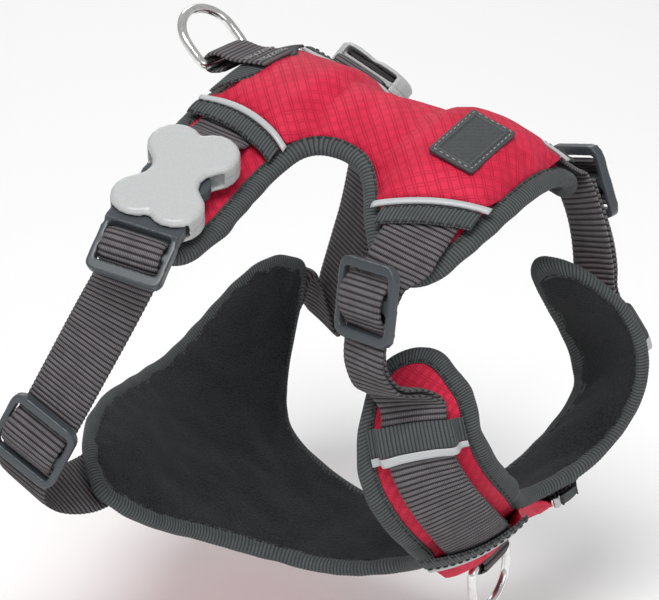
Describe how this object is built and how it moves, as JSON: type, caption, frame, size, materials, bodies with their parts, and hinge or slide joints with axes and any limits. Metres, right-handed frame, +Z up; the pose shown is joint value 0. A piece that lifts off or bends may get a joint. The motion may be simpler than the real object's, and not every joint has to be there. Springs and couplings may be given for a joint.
{
  "type": "no pull dog harness",
  "caption": "Padded dog vest harness: back and chest panels joined by neck and girth webbing, with side-release buckles, sliders and two D rings.",
  "frame": {"origin": "on the long axis of the dog's torso, midway inside the harness as worn, 65 mm below the back panel's middle", "axes": "+X to the dog's left, -Y to the dog's nose, +Z up"},
  "size_m": [0.211, 0.1921, 0.2104],
  "materials": {
    "ripstop": "matt red woven nylon with a diamond ripstop grid",
    "foam": "soft white foam sheet",
    "fleece": "brushed charcoal fleece",
    "grosgrain": "ribbed dark grey tape",
    "piping": "smooth light grey woven edge",
    "webbing": "ribbed warm dark grey webbing",
    "steel": "polished steel wire",
    "badge_rubber": "satin dark rubber",
    "grey_plastic": "matt light grey plastic",
    "dark_plastic": "satin dark grey plastic"
  },
  "bodies": {
    "harness": {"back_lining": "fleece", "chest_lining": "fleece", "back_foam_pad": "foam", "chest_foam_pad": "foam", "back_base_panel": "ripstop", "chest_base_panel": "ripstop", "back_cover_panel": "ripstop", "chest_cover_panel": "ripstop", "back_edge_binding": "grosgrain", "chest_edge_binding": "grosgrain", "rear_patch_tape": "grosgrain", "girth_webbing": "webbing", "leash_ring_tab": "webbing", "chest_ring_tab": "webbing", "badge": "badge_rubber", "right_rear_pocket_binding": "grosgrain", "right_rear_pocket_piping": "piping", "right_front_pocket_binding": "grosgrain", "right_front_pocket_piping": "piping", "right_chest_pocket_binding": "grosgrain", "right_chest_pocket_piping": "piping", "right_belly_pocket_binding": "grosgrain", "right_keeper_loop": "grosgrain", "right_keeper_piping": "piping", "right_buckle_socket": "grey_plastic", "right_girth_strap": "webbing", "right_neck_strap_upper": "webbing", "right_neck_strap_lower": "webbing", "left_rear_pocket_binding": "grosgrain", "left_rear_pocket_piping": "piping", "left_front_pocket_binding": "grosgrain", "left_front_pocket_piping": "piping", "left_chest_pocket_binding": "grosgrain", "left_chest_pocket_piping": "piping", "left_belly_pocket_binding": "grosgrain", "left_keeper_loop": "grosgrain", "left_keeper_piping": "piping", "left_buckle_socket": "grey_plastic", "left_girth_strap": "webbing", "left_neck_strap_upper": "webbing", "left_neck_strap_lower": "webbing"},
    "leash_ring": {"leash_ring": "steel"},
    "chest_ring": {"chest_ring": "steel"},
    "right_plug": {"right_buckle_plug": "dark_plastic", "right_plug_webbing": "webbing"},
    "right_rear_prong": {"right_rear_prong": "dark_plastic"},
    "right_front_prong": {"right_front_prong": "dark_plastic"},
    "right_girth_slider": {"right_girth_slider": "dark_plastic", "right_girth_slider_webbing": "webbing"},
    "right_neck_slider": {"right_neck_slider": "dark_plastic", "right_neck_slider_webbing": "webbing"},
    "left_plug": {"left_buckle_plug": "dark_plastic", "left_plug_webbing": "webbing"},
    "left_rear_prong": {"left_rear_prong": "dark_plastic"},
    "left_front_prong": {"left_front_prong": "dark_plastic"},
    "left_girth_slider": {"left_girth_slider": "dark_plastic", "left_girth_slider_webbing": "webbing"},
    "left_neck_slider": {"left_neck_slider": "dark_plastic", "left_neck_slider_webbing": "webbing"}
  },
  "joints": [
    {"name": "leash_ring_hinge", "type": "hinge", "parent": "harness", "child": "leash_ring", "pos_m": [-0.0005, 0.062, 0.0755], "axis": [1, 0, 0], "range_deg": [-80, 100]},
    {"name": "chest_ring_hinge", "type": "hinge", "parent": "harness", "child": "chest_ring", "pos_m": [0.00224, -0.05374, -0.09489], "axis": [0.9932, 0.0607, 0.0996], "range_deg": [-75, 60]},
    {"name": "right_plug_slide", "type": "slide", "parent": "harness", "child": "right_plug", "axis": [-0.9309, -0.1537, -0.3313], "range_m": [0, 0.034], "deforming": ["right_girth_strap"]},
    {"name": "right_rear_prong_squeeze", "type": "hinge", "parent": "right_plug", "child": "right_rear_prong", "pos_m": [-0.09212, 0.03415, 0.04981], "axis": [0.2963, 0.2121, -0.9312], "range_deg": [0, 7], "stiffness_Nm_per_rad": 0.5},
    {"name": "right_front_prong_squeeze", "type": "hinge", "parent": "right_plug", "child": "right_front_prong", "pos_m": [-0.08828, 0.01678, 0.04708], "axis": [-0.2963, -0.2121, 0.9312], "range_deg": [0, 7], "stiffness_Nm_per_rad": 0.5},
    {"name": "right_girth_slider_slide", "type": "slide", "parent": "harness", "child": "right_girth_slider", "axis": [0.0635, -0.4753, 0.8775], "range_m": [0, 0.018]},
    {"name": "right_neck_slider_slide", "type": "slide", "parent": "harness", "child": "right_neck_slider", "axis": [-0.2304, -0.0501, -0.9718], "range_m": [0, 0.006]},
    {"name": "left_plug_slide", "type": "slide", "parent": "harness", "child": "left_plug", "axis": [0.7002, 0.2209, -0.6789], "range_m": [0, 0.034], "deforming": ["left_girth_strap"]},
    {"name": "left_rear_prong_squeeze", "type": "hinge", "parent": "left_plug", "child": "left_rear_prong", "pos_m": [0.07667, 0.05444, 0.03416], "axis": [0.7135, -0.252, 0.6538], "range_deg": [0, 7], "stiffness_Nm_per_rad": 0.5},
    {"name": "left_front_prong_squeeze", "type": "hinge", "parent": "left_plug", "child": "left_front_prong", "pos_m": [0.07618, 0.03748, 0.02815], "axis": [-0.7135, 0.252, -0.6538], "range_deg": [0, 7], "stiffness_Nm_per_rad": 0.5},
    {"name": "left_girth_slider_slide", "type": "slide", "parent": "harness", "child": "left_girth_slider", "axis": [0.0055, -0.29, 0.957], "range_m": [0, 0.018]},
    {"name": "left_neck_slider_slide", "type": "slide", "parent": "harness", "child": "left_neck_slider", "axis": [0.0503, -0.3219, -0.9455], "range_m": [0, 0.006]}
  ]
}
